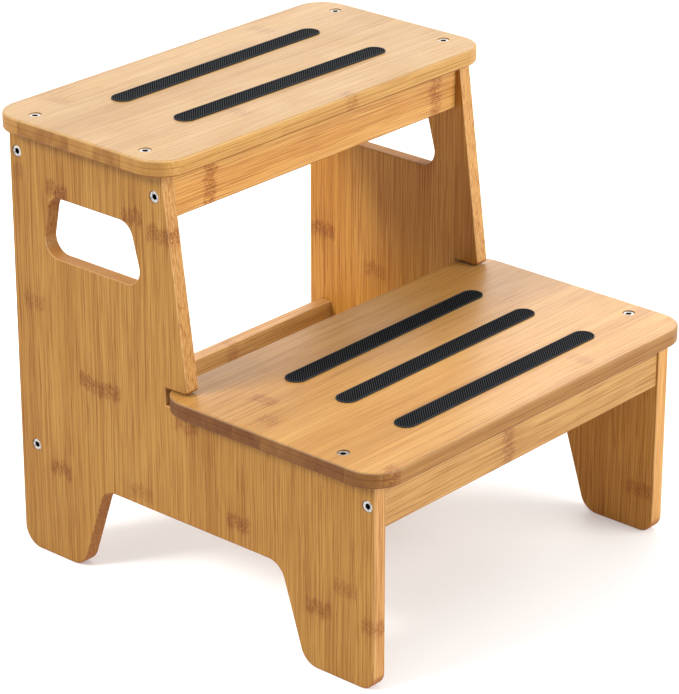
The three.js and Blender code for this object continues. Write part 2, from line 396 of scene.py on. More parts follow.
class Graph:
    """Adds nodes to a node tree and wires them together."""

    def __init__(self, tree: bpy.types.NodeTree) -> None:
        """Takes the tree to work in."""
        self.tree = tree

    def add(self, kind: str, **settings: object) -> bpy.types.Node:
        """Adds a node.

        Args:
            kind: The node's type.
            settings: Its properties.

        Returns:
            The node.
        """
        node = self.tree.nodes.new(kind)
        for name, value in settings.items():
            setattr(node, name, value)
        return node

    def feed(self, socket: Socket, value: Wire) -> None:
        """Wires a value into a socket, or sets it there when it is a constant.

        Args:
            socket: The socket.
            value: What it takes.
        """
        if isinstance(value, Socket):
            self.tree.links.new(value, socket)
        else:
            socket.default_value = value

    def wire(self, node: bpy.types.Node, **values: Wire) -> bpy.types.Node:
        """Feeds a node's inputs.

        Args:
            node: The node.
            values: What each named input takes, with underscores for the spaces in its name.

        Returns:
            The node.
        """
        for name, value in values.items():
            self.feed(node.inputs[name.replace("_", " ")], value)
        return node

    def put(self, kind: str, **values: Wire) -> bpy.types.Node:
        """A new node with its named inputs fed."""
        return self.wire(self.add(kind), **values)

    def listed(self, node: bpy.types.Node, *values: Wire) -> Socket:
        """Feeds a node's inputs in their order.

        Args:
            node: The node.
            values: What its first inputs take.

        Returns:
            The node's first output.
        """
        for socket, value in zip(node.inputs, values):
            self.feed(socket, value)
        return node.outputs[0]

    def math(self, operation: str, *values: Wire) -> Socket:
        """A Math node's result."""
        return self.listed(self.add("ShaderNodeMath", operation=operation), *values)

    def times(self, first: Wire, second: Wire) -> Socket:
        """Two values multiplied."""
        return self.math("MULTIPLY", first, second)

    def scaled(self, value: Wire, factor: Wire, start: Wire) -> Socket:
        """A value times a factor, added to a start."""
        return self.math("MULTIPLY_ADD", value, factor, start)

    def less(self, first: Wire, second: Wire) -> Socket:
        """One value less another."""
        return self.math("SUBTRACT", first, second)

    def apart(self, first: Wire, second: Wire) -> Socket:
        """How far two values are apart."""
        return self.math("ABSOLUTE", self.less(first, second))

    def waver(self, noise: Socket, reach: float, start: Wire) -> Socket:
        """A start that noise pushes to and fro."""
        return self.scaled(self.less(noise, 0.5), reach, start)

    def combine(self, x: Wire, y: Wire, z: Wire) -> Socket:
        """A vector made of three values."""
        return self.listed(self.add("ShaderNodeCombineXYZ"), x, y, z)

    def split(self, vector: Socket) -> list[Socket]:
        """A vector's three values."""
        return list(self.put("ShaderNodeSeparateXYZ", Vector=vector).outputs)

    def noise(self, place: Wire, scale: float, detail: float = 2.0, roughness: float = 0.5,
              distortion: float = 0.0) -> Socket:
        """A noise texture's value over a vector."""
        return self.put("ShaderNodeTexNoise", Vector=place, Scale=scale, Detail=detail,
                        Roughness=roughness, Distortion=distortion).outputs[0]

    def span(self, value: Wire, low: Wire, high: Wire, to_low: Wire = 0.0, to_high: Wire = 1.0) -> Socket:
        """Maps a value smoothly from one range to another, held at both ends."""
        node = self.add("ShaderNodeMapRange", interpolation_type="SMOOTHSTEP")
        return self.listed(node, value, low, high, to_low, to_high)

    def fade(self, value: Wire, full: float, gone: float, strength: float = 1.0) -> Socket:
        """A strength that fades away as a value grows."""
        return self.span(value, full, gone, strength, 0.0)

    def mix(self, share: Wire, first: Wire, second: Wire, blend: str = "MIX") -> Socket:
        """Mixes two colours.

        Args:
            share: How much of the second is mixed in.
            first: The first colour.
            second: The second colour.
            blend: The way they mix.

        Returns:
            The mixed colour.
        """
        node = self.add("ShaderNodeMix", data_type="RGBA", blend_type=blend)
        for name, value in (("Factor_Float", share), ("A_Color", first), ("B_Color", second)):
            socket = next(item for item in node.inputs if item.identifier == name)
            if isinstance(value, tuple) and len(value) == 3:
                value = (*value, 1.0)
            self.feed(socket, value)
        return next(item for item in node.outputs if item.identifier == "Result_Color")


def open_tree(name: str, kind: str, takes: dict[str, Kind], gives: dict[str, Kind]) -> Graph:
    """Starts a node tree with named inputs and outputs.

    Args:
        name: The tree's name.
        kind: The tree's type.
        takes: Its inputs.
        gives: Its outputs.

    Returns:
        The tree's graph.
    """
    tree = bpy.data.node_groups.new(name, kind)
    for in_out, sockets in (("INPUT", takes), ("OUTPUT", gives)):
        for socket, carried in sockets.items():
            tree.interface.new_socket(socket, in_out=in_out, socket_type=carried.value)
    return Graph(tree)


class EffectGroup:
    """A shader node group that several materials share, built once."""

    name = ""
    takes: dict[str, Kind] = {}
    gives: tuple[str, ...] = ()

    def tree(self) -> bpy.types.NodeTree:
        """Finds the group's tree, or builds it the first time it is asked for.

        Returns:
            The tree.
        """
        known = bpy.data.node_groups.get(self.name)
        if known:
            return known
        graph = open_tree(self.name, "ShaderNodeTree", self.takes, dict.fromkeys(self.gives, Kind.NUMBER))
        arriving = graph.add("NodeGroupInput")
        leaving = graph.add("NodeGroupOutput")
        results = self.build(graph, {name: arriving.outputs[name] for name in self.takes})
        graph.wire(leaving, **results)
        return graph.tree

    def build(self, graph: Graph, given: Sockets) -> Sockets:
        """Wires the group's inside."""
        raise NotImplementedError

    def place(self, graph: Graph, **values: Wire) -> Sockets:
        """Places the group in a material.

        Args:
            graph: The material's graph.
            values: What each input takes, with underscores for spaces.

        Returns:
            The group's outputs by name.
        """
        node = graph.wire(graph.add("ShaderNodeGroup", node_tree=self.tree()), **values)
        return {name: node.outputs[name] for name in self.gives}


@dataclass(frozen=True)
class Streaks:
    """Noise drawn out along the grain: its fineness, and the values it shows between."""

    along: float
    across: float
    detail: float
    shows: Between


class BambooStrips(EffectGroup):
    """Bamboo strips glued side by side: their tones, fibres, pores and the joints between them.

    Its place is (along the grain, across it, through the board), in metres.
    """

    name = "bamboo_strips"
    takes = {"Place": Kind.VECTOR, "Strip Width": Kind.NUMBER, "Seed": Kind.NUMBER}
    gives = ("Tone", "Warmth", "Fibre", "Pores", "Joint")
    bend_pitch = 9.0
    bend = 4 * MM
    strip_shift = 9.0
    streak_roughness = 0.6
    drift = Streaks(3.0, 90.0, 1.0, (0.2, 0.8))
    drift_share = 0.6
    fibre = Streaks(5.0, 980.0, 3.0, (0.44, 0.57))
    pores = Streaks(20.0, 1250.0, 1.0, (0.52, 0.62))
    joint_width = 0.6 * MM

    def build(self, graph: Graph, given: Sockets) -> Sockets:
        """Wires the strips' pattern.

        Args:
            graph: The group's graph.
            given: Its inputs.

        Returns:
            Its outputs.
        """
        along, across, through = graph.split(given["Place"])
        cell = graph.math("ADD", graph.math("DIVIDE", across, given["Strip Width"]), given["Seed"])
        strip = graph.math("FLOOR", cell)
        chance = graph.add("ShaderNodeTexWhiteNoise", noise_dimensions="2D")
        graph.wire(chance, Vector=graph.combine(strip, given["Seed"], 0.0))
        first, second, third = graph.split(chance.outputs["Color"])
        swirl = graph.noise(graph.combine(graph.times(along, self.bend_pitch), strip, given["Seed"]), 1.0)
        bent = graph.waver(swirl, self.bend, across)
        own = graph.times(second, self.strip_shift)

        def streaky(look: Streaks) -> Socket:
            """Noise drawn out along the grain, shifted on each strip."""
            place = graph.combine(graph.scaled(along, look.along, own), graph.times(bent, look.across),
                                  graph.times(through, look.across))
            return graph.noise(place, 1.0, look.detail, self.streak_roughness)

        own_tone = graph.times(first, 1 - self.drift_share)
        tone = graph.scaled(streaky(self.drift), self.drift_share, own_tone)
        border = graph.less(0.5, graph.apart(graph.math("FRACT", cell), 0.5))
        return {
            "Tone": graph.span(tone, *self.drift.shows),
            "Warmth": third,
            "Fibre": graph.span(streaky(self.fibre), *self.fibre.shows),
            "Pores": graph.span(streaky(self.pores), *self.pores.shows),
            "Joint": graph.fade(graph.times(border, given["Strip Width"]), 0.0, self.joint_width),
        }


class BambooKnuckle(EffectGroup):
    """One knuckle of the cane: a wavy band of short dark scales across a strip or two."""

    name = "bamboo_knuckle"
    takes = {"Place": Kind.VECTOR, "Along": Kind.NUMBER, "Across": Kind.NUMBER, "Width": Kind.NUMBER,
             "Strength": Kind.NUMBER}
    gives = ("Band", "Halo")
    wave_pitch = 170.0
    wave = 14 * MM
    sides = (0.4, 0.52)
    band = (3 * MM, 8.5 * MM)
    halo = (0.0, 30 * MM)

    def build(self, graph: Graph, given: Sockets) -> Sockets:
        """Wires the band and the faint halo of bent fibres round it.

        Args:
            graph: The group's graph.
            given: Its inputs.

        Returns:
            Its outputs.
        """
        along, across, _ = graph.split(given["Place"])
        place = graph.combine(graph.times(across, self.wave_pitch), given["Along"], 0.0)
        off = graph.apart(along, graph.waver(graph.noise(place, 1.0, 1.0), self.wave, given["Along"]))
        aside = graph.math("DIVIDE", graph.apart(across, given["Across"]), given["Width"])
        inside = graph.times(graph.fade(aside, *self.sides), given["Strength"])
        return {
            "Band": graph.times(graph.fade(off, *self.band), inside),
            "Halo": graph.times(graph.fade(off, *self.halo), inside),
        }


class KnuckleScales(EffectGroup):
    """The short dark scales that knuckles are made of."""

    name = "knuckle_scales"
    takes = {"Place": Kind.VECTOR}
    gives = ("Scales",)
    fineness = (420.0, 1100.0, 400.0)
    ragged = 1.6
    shows = (0.46, 0.51)

    def build(self, graph: Graph, given: Sockets) -> Sockets:
        """Wires the scales.

        Args:
            graph: The group's graph.
            given: Its inputs.

        Returns:
            Its outputs.
        """
        parts = zip(graph.split(given["Place"]), self.fineness)
        place = graph.combine(*[graph.times(part, fine) for part, fine in parts])
        return {"Scales": graph.span(graph.noise(place, 1.0, 1.0, 0.5, self.ragged), *self.shows)}


class BoardFaces(EffectGroup):
    """Tells a board's broad faces, end grain and rounded edges apart by the way they face."""

    name = "board_faces"
    takes = {"Facing": Kind.VECTOR}
    gives = ("Broad", "End", "Rounding")
    broad = (0.78, 0.96)
    end = (0.35, 0.85)
    not_broad = (0.75, 0.45)
    slanting = (0.03, 0.2)

    def build(self, graph: Graph, given: Sockets) -> Sockets:
        """Wires the masks.

        Args:
            graph: The group's graph.
            given: Its inputs.

        Returns:
            Its outputs.
        """
        along, _, through = [graph.math("ABSOLUTE", value) for value in graph.split(given["Facing"])]
        slant = graph.times(through, graph.less(1.0, through))
        return {
            "Broad": graph.span(through, *self.broad),
            "End": graph.times(graph.span(along, *self.end), graph.span(through, *self.not_broad)),
            "Rounding": graph.span(slant, *self.slanting),
        }


class Handling(EffectGroup):
    """What use leaves on a surface: soft smudges, and dust and rubbing in fine specks."""

    name = "handling"
    takes = {"Place": Kind.VECTOR, "Seed": Kind.NUMBER}
    gives = ("Smudge", "Specks")
    smudges = (22.0, 3.0, 0.55, 0.4)
    smudge_shows = (0.35, 0.7)
    specks = (900.0, 1.0)
    speck_shows = (0.62, 0.78)

    def build(self, graph: Graph, given: Sockets) -> Sockets:
        """Wires the marks.

        Args:
            graph: The group's graph.
            given: Its inputs.

        Returns:
            Its outputs.
        """
        shift = graph.add("ShaderNodeVectorMath", operation="ADD")
        moved = graph.listed(shift, given["Place"], graph.combine(given["Seed"], 0.0, 0.0))
        return {
            "Smudge": graph.span(graph.noise(moved, *self.smudges), *self.smudge_shows),
            "Specks": graph.span(graph.noise(moved, *self.specks), *self.speck_shows),
        }


# ---------------------------------------------------------------- finishes


class Grain(Enum):
    """Which way a board's grain runs: the order of X, Y and Z as along, across and through."""

    UPRIGHT = (2, 1, 0)
    CROSSWISE_FLAT = (0, 1, 2)
    CROSSWISE_STANDING = (0, 2, 1)


def start_material(name: str) -> tuple[bpy.types.Material, Graph, bpy.types.Node]:
    """Makes an empty material.

    Args:
        name: The material's name.

    Returns:
        The material, its graph and its Principled shader.
    """
    material = bpy.data.materials.new(name)
    material.use_nodes = True
    material.node_tree.nodes.clear()
    graph = Graph(material.node_tree)
    shader = graph.add("ShaderNodeBsdfPrincipled")
    graph.put("ShaderNodeOutputMaterial", Surface=shader.outputs[0])
    return material, graph, shader


def object_place(graph: Graph) -> Socket:
    """The point's place on the object."""
    return graph.add("ShaderNodeTexCoord").outputs["Object"]


def marked(graph: Graph, attribute: str) -> Socket:
    """What a mesh attribute says of the point."""
    return graph.add("ShaderNodeAttribute", attribute_name=attribute).outputs["Fac"]


def bump(graph: Graph, height: Socket, depth: float) -> Socket:
    """The normal of a surface that a height raises, 1 standing for the depth in metres."""
    return graph.put("ShaderNodeBump", Height=height, Strength=1.0, Distance=depth).outputs[0]


@dataclass(frozen=True)
class Knuckle:
    """Where one knuckle of the cane shows on a board: along the grain, across it, and how wide."""

    along: float
    across: float
    width: float
    strength: float = 1.0


@dataclass(frozen=True)
class GlueLine:
    """A dark line between two plies: how deep it lies, how wide it is, and how dark."""

    depth: float
    width: Between
    strength: float


@dataclass(frozen=True)
class Tones:
    """The colours of one board's bamboo."""

    light: Colour
    dark: Colour
    knuckle: Colour
    edge: Colour
    end: Colour

    @classmethod
    def shown(cls: type, **colours: tuple[int, int, int]) -> "Tones":
        """The tones from 8-bit display colours."""
        return cls(**{name: from_srgb(*colour) for name, colour in colours.items()})


@dataclass(frozen=True)
class BambooFinish:
    """Lacquered laminated bamboo on one board.

    A share mixes a colour in, a shade darkens towards the deep tone, and a matt adds roughness. Downward
    faces get painted shade, and rounded upward edges get a pale painted highlight.
    """

    name: str
    grain: Grain
    seed: float
    tones: Tones
    knuckles: tuple[Knuckle, ...]
    strip_width: float = 26 * MM
    ply_top: float = 0.0
    ply_depth: float = 0.0
    roughness: float = 0.45
    gloss: float = 0.15
    coat: float = 0.0
    coat_roughness: float = 0.28
    streaks: float = 0.34
    deep_tone: Colour = (0.49, 0.25, 0.03)
    warm_cast: Colour = (1.0, 0.94, 0.82)
    painted_highlight_tone: Colour = (1.0, 0.84, 0.6)
    rim_share: float = 0.4
    end_share: float = 0.45
    warm_share: float = 0.35
    knuckle_share: float = 0.15
    painted_highlight_share: float = 0.07
    end_fibres: float = 0.25
    pore_depth: float = 1.4
    halo_shade: float = 0.3
    scale_shade: float = 0.74
    joint_shade: float = 0.16
    smudge_shade: float = 0.05
    glue_shade: float = 0.55
    underside_painted_shade: float = 0.75
    upward: Between = (-0.35, 0.05)
    fibre_matt: float = 0.06
    smudge_matt: float = 0.05
    end_matt: float = 0.12
    relief: float = 0.06 * MM
    fibre_relief: float = -0.35
    pore_relief: float = -0.5
    scale_relief: float = -0.6
    joint_relief: float = -0.8
    glue_lines: tuple[GlueLine, ...] = (GlueLine(0.46, (0.01, 0.04), 1.0), GlueLine(0.74, (0.008, 0.03), 0.5))

    def material(self) -> bpy.types.Material:
        """Builds the finish.

        Returns:
            The material.
        """
        material, graph, shader = start_material(self.name)
        seen = self.masks(graph)
        graph.wire(shader, Base_Color=self.colour(graph, seen), Specular_IOR_Level=self.gloss)
        matt = graph.scaled(seen["Fibre"], self.fibre_matt, self.roughness)
        matt = graph.scaled(seen["Smudge"], self.smudge_matt, matt)
        graph.wire(shader, Roughness=graph.scaled(seen["End"], self.end_matt, matt))
        if self.coat:
            graph.wire(shader, Coat_Weight=graph.times(seen["Broad"], self.coat),
                       Coat_Roughness=self.coat_roughness)
        height = graph.scaled(seen["Pores"], self.pore_relief, graph.times(seen["Fibre"], self.fibre_relief))
        height = graph.scaled(seen["Scales"], self.scale_relief, height)
        height = graph.scaled(seen["Joint"], self.joint_relief, height)
        graph.wire(shader, Normal=bump(graph, height, self.relief))
        return material

    def masks(self, graph: Graph) -> Sockets:
        """Gathers what the finish shows at a point: its pattern, its face, its marks and its knuckles.

        Args:
            graph: The material's graph.

        Returns:
            The masks by name.
        """
        place = object_place(graph)
        here = graph.split(place)
        facing = graph.split(graph.add("ShaderNodeNewGeometry").outputs["Normal"])
        board = graph.combine(*[here[axis] for axis in self.grain.value])
        turned = graph.combine(*[facing[axis] for axis in self.grain.value])
        seen = {
            **BambooStrips().place(graph, Place=board, Strip_Width=self.strip_width, Seed=self.seed),
            **BoardFaces().place(graph, Facing=turned),
            **Handling().place(graph, Place=place, Seed=self.seed),
            "Height": here[2],
            "Upward": graph.span(facing[2], *self.upward),
        }
        for knuckle in self.knuckles:
            one = BambooKnuckle().place(graph, Place=board, Along=knuckle.along, Across=knuckle.across,
                                        Width=knuckle.width, Strength=knuckle.strength)
            for mask, value in one.items():
                seen[mask] = graph.math("MAXIMUM", seen[mask], value) if mask in seen else value
        scales = KnuckleScales().place(graph, Place=board)["Scales"]
        seen["Scales"] = graph.times(seen["Band"], scales)
        return seen

    def colour(self, graph: Graph, seen: Sockets) -> Socket:
        """Wires the wood's colour.

        Args:
            graph: The material's graph.
            seen: The masks by name.

        Returns:
            The colour.
        """
        tone = seen["Tone"]
        wood = graph.mix(tone, self.tones.dark, self.tones.light)
        rim = graph.mix(graph.times(tone, self.rim_share), self.tones.edge, self.tones.light)
        end = graph.mix(graph.times(tone, self.end_share), self.tones.end, self.tones.edge)
        wood = graph.mix(seen["Broad"], graph.mix(seen["End"], rim, end), wood)
        wood = graph.mix(graph.times(seen["Warmth"], self.warm_share), wood, self.warm_cast, "MULTIPLY")
        wood = graph.mix(graph.times(seen["Band"], self.knuckle_share), wood, self.tones.knuckle)
        fibrous = graph.scaled(seen["End"], self.end_fibres - 1, 1.0)
        shades = [
            (graph.times(seen["Fibre"], fibrous), self.streaks),
            (graph.times(seen["Pores"], fibrous), self.pore_depth * self.streaks),
            (graph.times(seen["Halo"], seen["Fibre"]), self.halo_shade),
            (seen["Scales"], self.scale_shade),
            (seen["Joint"], self.joint_shade),
            (seen["Smudge"], self.smudge_shade),
        ]
        if self.ply_depth:
            shades.append((self.glue(graph, seen), self.glue_shade))
        # Downward faces are darkened towards the deep tone: painted shade under the boards.
        shades.append((graph.less(1.0, seen["Upward"]), self.underside_painted_shade))
        for mask, shade in shades:
            wood = graph.mix(graph.times(mask, shade), wood, self.deep_tone, "MULTIPLY")
        # Rounded edges that face upward are lightened: a painted highlight where the rounding catches light.
        painted_highlight = graph.times(graph.times(seen["Rounding"], seen["Upward"]), self.painted_highlight_share)
        return graph.mix(painted_highlight, wood, self.painted_highlight_tone, "SCREEN")

    def glue(self, graph: Graph, seen: Sockets) -> Socket:
        """Wires the thin dark lines between the plies, on the board's edges only.

        Args:
            graph: The material's graph.
            seen: The masks by name.

        Returns:
            The mask.
        """
        depth = graph.math("DIVIDE", graph.less(self.ply_top, seen["Height"]), self.ply_depth)
        lines = [graph.fade(graph.apart(depth, line.depth), *line.width, line.strength)
                 for line in self.glue_lines]
        return graph.times(graph.math("MAXIMUM", *lines), graph.less(1.0, seen["Broad"]))


@dataclass(frozen=True)
class GripFinish:
    """Matt black rubber with dust on its rib crests, made black down between the ribs by painted shade."""

    name: str = "grip_rubber"
    groove_painted_shade: Colour = (0.004, 0.004, 0.0045)
    crest: Colour = (0.04, 0.045, 0.052)
    dusty: Colour = (0.07, 0.07, 0.07)
    seed: float = 3.0
    grain: Values = (2600.0, 2.0)
    smudge_share: float = 0.2
    speck_share: float = 0.4
    roughness: float = 0.7
    grain_matt: float = 0.2
    gloss: float = 0.03
    relief: float = 0.03 * MM

    def material(self) -> bpy.types.Material:
        """Builds the finish.

        Returns:
            The material.
        """
        material, graph, shader = start_material(self.name)
        place = object_place(graph)
        marks = Handling().place(graph, Place=place, Seed=self.seed)
        grain = graph.noise(place, *self.grain)
        height = marked(graph, CREST)
        # Low points between the ribs take the near-black groove colour: painted shade in the grooves.
        rubber = graph.mix(height, self.groove_painted_shade, self.crest)
        specks = graph.times(marks["Specks"], self.speck_share)
        dust = graph.scaled(marks["Smudge"], self.smudge_share, specks)
        graph.wire(shader, Base_Color=graph.mix(graph.times(dust, height), rubber, self.dusty),
                   Roughness=graph.scaled(grain, self.grain_matt, self.roughness),
                   Specular_IOR_Level=self.gloss, Normal=bump(graph, grain, self.relief))
        return material


@dataclass(frozen=True)
class SteelFinish:
    """Bright zinc plate with fine turning marks, dust specks, and dull patches that are painted darker
    reflections.
    """

    name: str = "screw_steel"
    bright: Colour = (0.5, 0.49, 0.47)
    dull: Colour = (0.19, 0.19, 0.19)
    socket_painted_shade: Colour = (0.012, 0.011, 0.01)
    seed: float = 11.0
    scratches: Values = (5200.0, 2.0, 0.7)
    reflection_patches: Values = (420.0, 2.0, 0.6)
    patch_shows: Between = (0.42, 0.6)
    speck_share: float = 0.2
    patch_share: float = 0.8
    metallic: float = 0.75
    roughness: float = 0.26
    scratch_matt: float = 0.2
    relief: float = 0.01 * MM

    def material(self) -> bpy.types.Material:
        """Builds the finish.

        Returns:
            The material.
        """
        material, graph, shader = start_material(self.name)
        place = object_place(graph)
        marks = Handling().place(graph, Place=place, Seed=self.seed)
        scratches = graph.noise(place, *self.scratches)
        # Dull patches in the plate's colour are painted darker reflections; the specks are dust and rubbing.
        reflection_patches = graph.span(graph.noise(place, *self.reflection_patches), *self.patch_shows)
        specks_and_painted_reflections = graph.scaled(marks["Specks"], self.speck_share, graph.times(reflection_patches, self.patch_share))
        plate = graph.mix(specks_and_painted_reflections, self.bright, self.dull)
        # Points down in the hex socket take a near-black colour: painted shade in the socket.
        graph.wire(shader, Metallic=self.metallic,
                   Base_Color=graph.mix(marked(graph, HOLLOW), plate, self.socket_painted_shade),
                   Roughness=graph.scaled(scratches, self.scratch_matt, self.roughness),
                   Normal=bump(graph, scratches, self.relief))
        return material


# ---------------------------------------------------------------- geometry trees


def run_tree(made: Shape, tree: bpy.types.NodeTree, values: dict[str, object]) -> None:
    """Runs a geometry tree on an object, and leaves a plain mesh.

    Args:
        made: The object.
        tree: The geometry tree.
        values: What each named input takes.
    """
    modifier = made.modifiers.new(tree.name, "NODES")
    modifier.node_group = tree
    for item in tree.interface.items_tree:
        if item.in_out == "INPUT" and item.name in values:
            modifier[item.identifier] = values[item.name]
    settle(made)


def start_tree(name: str, start: str, numbers: Sequence[str]) -> Graph:
    """Starts a geometry tree that takes a shape, numbers and a finish, and gives a shape.

    Args:
        name: The tree's name.
        start: The name of the shape it takes.
        numbers: The names of its numbers.

    Returns:
        The tree's graph.
    """
    takes = {start: Kind.SHAPE, **dict.fromkeys(numbers, Kind.NUMBER), "Finish": Kind.MATERIAL}
    return open_tree(name, "GeometryNodeTree", takes, {"Result": Kind.SHAPE})


def finish_tree(graph: Graph, shape: Socket, material: Socket) -> None:
    """Ends a geometry tree: realizes its instances and sets its material.

    Args:
        graph: The tree's graph.
        shape: The geometry so far.
        material: The material to set.
    """
    realized = graph.put("GeometryNodeRealizeInstances", Geometry=shape)
    finished = graph.put("GeometryNodeSetMaterial", Geometry=realized.outputs[0], Material=material)
    graph.put("NodeGroupOutput", Result=finished.outputs[0])


# ---------------------------------------------------------------- screws


@dataclass
class FurnitureScrew:
    """A countersunk hex-socket furniture screw, made along its own -Z with its top at 0."""

    head: float = 8.8 * MM
    head_depth: float = 2.9 * MM
    rim: float = 0.5 * MM
    crown: float = 0.25 * MM
    sink: float = 0.7 * MM
    thread_outer: float = 5.8 * MM
    core: float = 4.4 * MM
    neck: float = 7 * MM
    pitch: float = 2.6 * MM
    tip: float = 5 * MM
    point_width: float = 0.25
    point_height: float = 0.12
    socket: float = 4 * MM
    socket_depth: float = 2.4 * MM
    socket_sides: int = 6
    socket_margin: float = 1.02
    clearance: float = 0.3 * MM
    sides: int = 48
    thread_steps: int = 20
    thread_sides: int = 4
    slot: str = "screw_steel"
    nodes: tuple[str, ...] = field(default_factory=lambda: nodes_named("_screw"))

    @property
    def socket_reach(self) -> float:
        """How far the corners of the hex socket are from the screw's axis."""
        return self.socket / 2 / math.cos(math.pi / self.socket_sides)

    def length(self, node: str) -> float:
        """The length of the CAD screw."""
        low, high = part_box(node)
        return max(high - low)

    def placing(self, node: str) -> Matrix:
        """Moves a screw made at the origin to where the CAD screw is.

        Args:
            node: The CAD screw.

        Returns:
            The placing.
        """
        low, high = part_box(node)
        middle = (low + high) / 2
        size = high - low
        if size.z > size.x:
            return Matrix.Translation((middle.x, middle.y, high.z))
        side = math.copysign(1.0, middle.x)
        head = high.x if side > 0 else low.x
        turn = Matrix.Rotation(side * math.pi / 2, 4, "Y")
        return Matrix.Translation((head, middle.y, middle.z)) @ turn

    def body(self, length: float) -> Shape:
        """The head, neck and core, with the hex socket cut in.

        Args:
            length: The screw's length.

        Returns:
            The body.
        """
        outer, core, neck = self.head / 2, self.core / 2, self.thread_outer / 2
        flare, reach = self.crown, self.socket_reach
        profile = [
            (0, -length),
            (core * self.point_width, -length + self.tip * self.point_height),
            (core, -length + self.tip),
            (core, -self.head_depth - self.neck),
            (neck, -self.head_depth - self.neck + (neck - core)),
            (neck, -self.head_depth),
            (outer, -self.rim),
            (outer, -self.crown),
            (outer - self.crown, 0),
            (0, 0),
        ]
        hexagon = [(0, -self.socket_depth - flare), (reach, -self.socket_depth), (reach, flare), (0, flare)]
        mouth = [(0, -flare), (reach, -flare), (reach + 2 * flare, flare), (0, flare)]
        made = as_object(turned_solid(profile, self.sides), "screw_body")
        carve(made, [as_object(turned_solid(hexagon, self.socket_sides), "socket"),
                     as_object(turned_solid(mouth, self.socket_sides), "socket_mouth")])
        return made

    def mark_hollow(self, made: Shape) -> None:
        """Notes on each point of a screw whether it lies down in the socket, where the finish paints shade.

        Args:
            made: The screw.
        """
        reach = self.socket_reach * self.socket_margin
        inside = [
            float(-self.head_depth < vertex.co.z < -self.crown / 2 and vertex.co.xy.length < reach)
            for vertex in made.data.vertices
        ]
        made.data.attributes.new(HOLLOW, "FLOAT", "POINT").data.foreach_set("value", inside)

    def thread_tree(self) -> bpy.types.NodeTree:
        """Geometry nodes that wind a thread round the core.

        Returns:
            The tree.
        """
        graph = start_tree("screw_thread", "Body", ("Turns", "Radius", "Rise", "Depth", "Bottom"))
        given = graph.add("NodeGroupInput").outputs
        spiral = graph.put("GeometryNodeCurveSpiral", Resolution=self.thread_steps, Rotations=given["Turns"],
                           Start_Radius=given["Radius"], End_Radius=given["Radius"], Height=given["Rise"])
        upright = graph.add("GeometryNodeSetCurveNormal", mode="Z_UP")
        graph.wire(upright, Curve=spiral.outputs[0])
        section = graph.put("GeometryNodeCurvePrimitiveCircle", Resolution=self.thread_sides,
                            Radius=given["Depth"])
        ridge = graph.put("GeometryNodeCurveToMesh", Curve=upright.outputs[0],
                          Profile_Curve=section.outputs[0], Fill_Caps=True)
        lowered = graph.put("GeometryNodeTransform", Geometry=ridge.outputs[0],
                            Translation=graph.combine(0.0, 0.0, given["Bottom"]))
        joined = graph.put("GeometryNodeJoinGeometry", Geometry=lowered.outputs[0])
        graph.wire(joined, Geometry=given["Body"])
        finish_tree(graph, joined.outputs[0], given["Finish"])
        return graph.tree

    def pattern(self, length: float, tree: bpy.types.NodeTree, material: bpy.types.Material) -> Shape:
        """Makes one screw at the origin.

        Args:
            length: The screw's length.
            tree: The geometry tree that winds its thread.
            material: What it is plated with.

        Returns:
            The screw.
        """
        made = self.body(length)
        smooth(made)
        threaded = length - self.head_depth - self.neck - self.tip
        run_tree(made, tree, {
            "Turns": threaded / self.pitch,
            "Radius": self.core / 2,
            "Rise": threaded,
            "Depth": (self.thread_outer - self.core) / 2,
            "Bottom": self.tip - length,
            "Finish": material,
        })
        self.mark_hollow(made)
        return made

    def build(self, finish: SteelFinish) -> None:
        """Makes every screw, from one pattern for each length.

        Args:
            finish: What the screws are plated with.
        """
        material = finish.material()
        tree = self.thread_tree()
        patterns: dict[float, Shape] = {}
        for node in self.nodes:
            length = round(self.length(node), 4)
            if length not in patterns:
                patterns[length] = self.pattern(length, tree, material)
            made = copied(patterns[length], "fine_" + node, self.placing(node))
            dress(made, material, node)
        for pattern in patterns.values():
            remove(pattern)

    def hole(self, node: str) -> Shape:
        """The countersunk hole that a screw needs, a little deeper than the screw.

        Args:
            node: The CAD screw.

        Returns:
            A shape to cut with.
        """
        depth = self.length(node) + MM
        mouth = self.head / 2 + self.clearance
        bore = self.thread_outer / 2 + self.clearance
        top = self.sink + MM
        profile = [
            (0, -depth),
            (bore, -depth),
            (bore, -self.head_depth - self.clearance),
            (mouth, -self.rim - self.clearance),
            (mouth, top),
            (0, top),
        ]
        return as_object(turned_solid(profile, self.sides), "hole_" + node, self.placing(node))


# ---------------------------------------------------------------- boards


@dataclass(frozen=True)
class BoardLook:
    """How one board looks: a seed for its strips, its tones, its knuckles in mm, and its lacquer."""

    seed: float
    tones: Tones
    knuckles: tuple[tuple[float, ...], ...]
    coat: float = 0.0


@dataclass
class Boards:
    """Flat boards of one kind, cut to shape, drilled for their screws and lacquered."""

    screws: FurnitureScrew
    arc_steps: int = 20
    edge_steps: int = 5
    slot = ""

    def blank(self, node: str) -> tuple[Solid, Matrix]:
        """A board's solid, and its placing."""
        raise NotImplementedError

    def finish(self, name: str, node: str, look: BoardLook) -> BambooFinish:
        """A board's bamboo."""
        raise NotImplementedError

    def belongs(self, node: str, screw: str) -> bool:
        """Whether a screw goes into a board."""
        return node in screw

    def build(self, looks: dict[str, BoardLook]) -> None:
        """Makes every board of this kind.

        Args:
            looks: The look of each CAD board.
        """
        for node, look in looks.items():
            solid, placing = self.blank(node)
            made = as_object(solid, "fine_" + node, placing)
            carve(made, [self.screws.hole(screw) for screw in self.screws.nodes if self.belongs(node, screw)])
            smooth(made)
            finish = self.finish(node.replace("_side", "") + "_bamboo", node, look)
            dress(made, finish.material(), node)


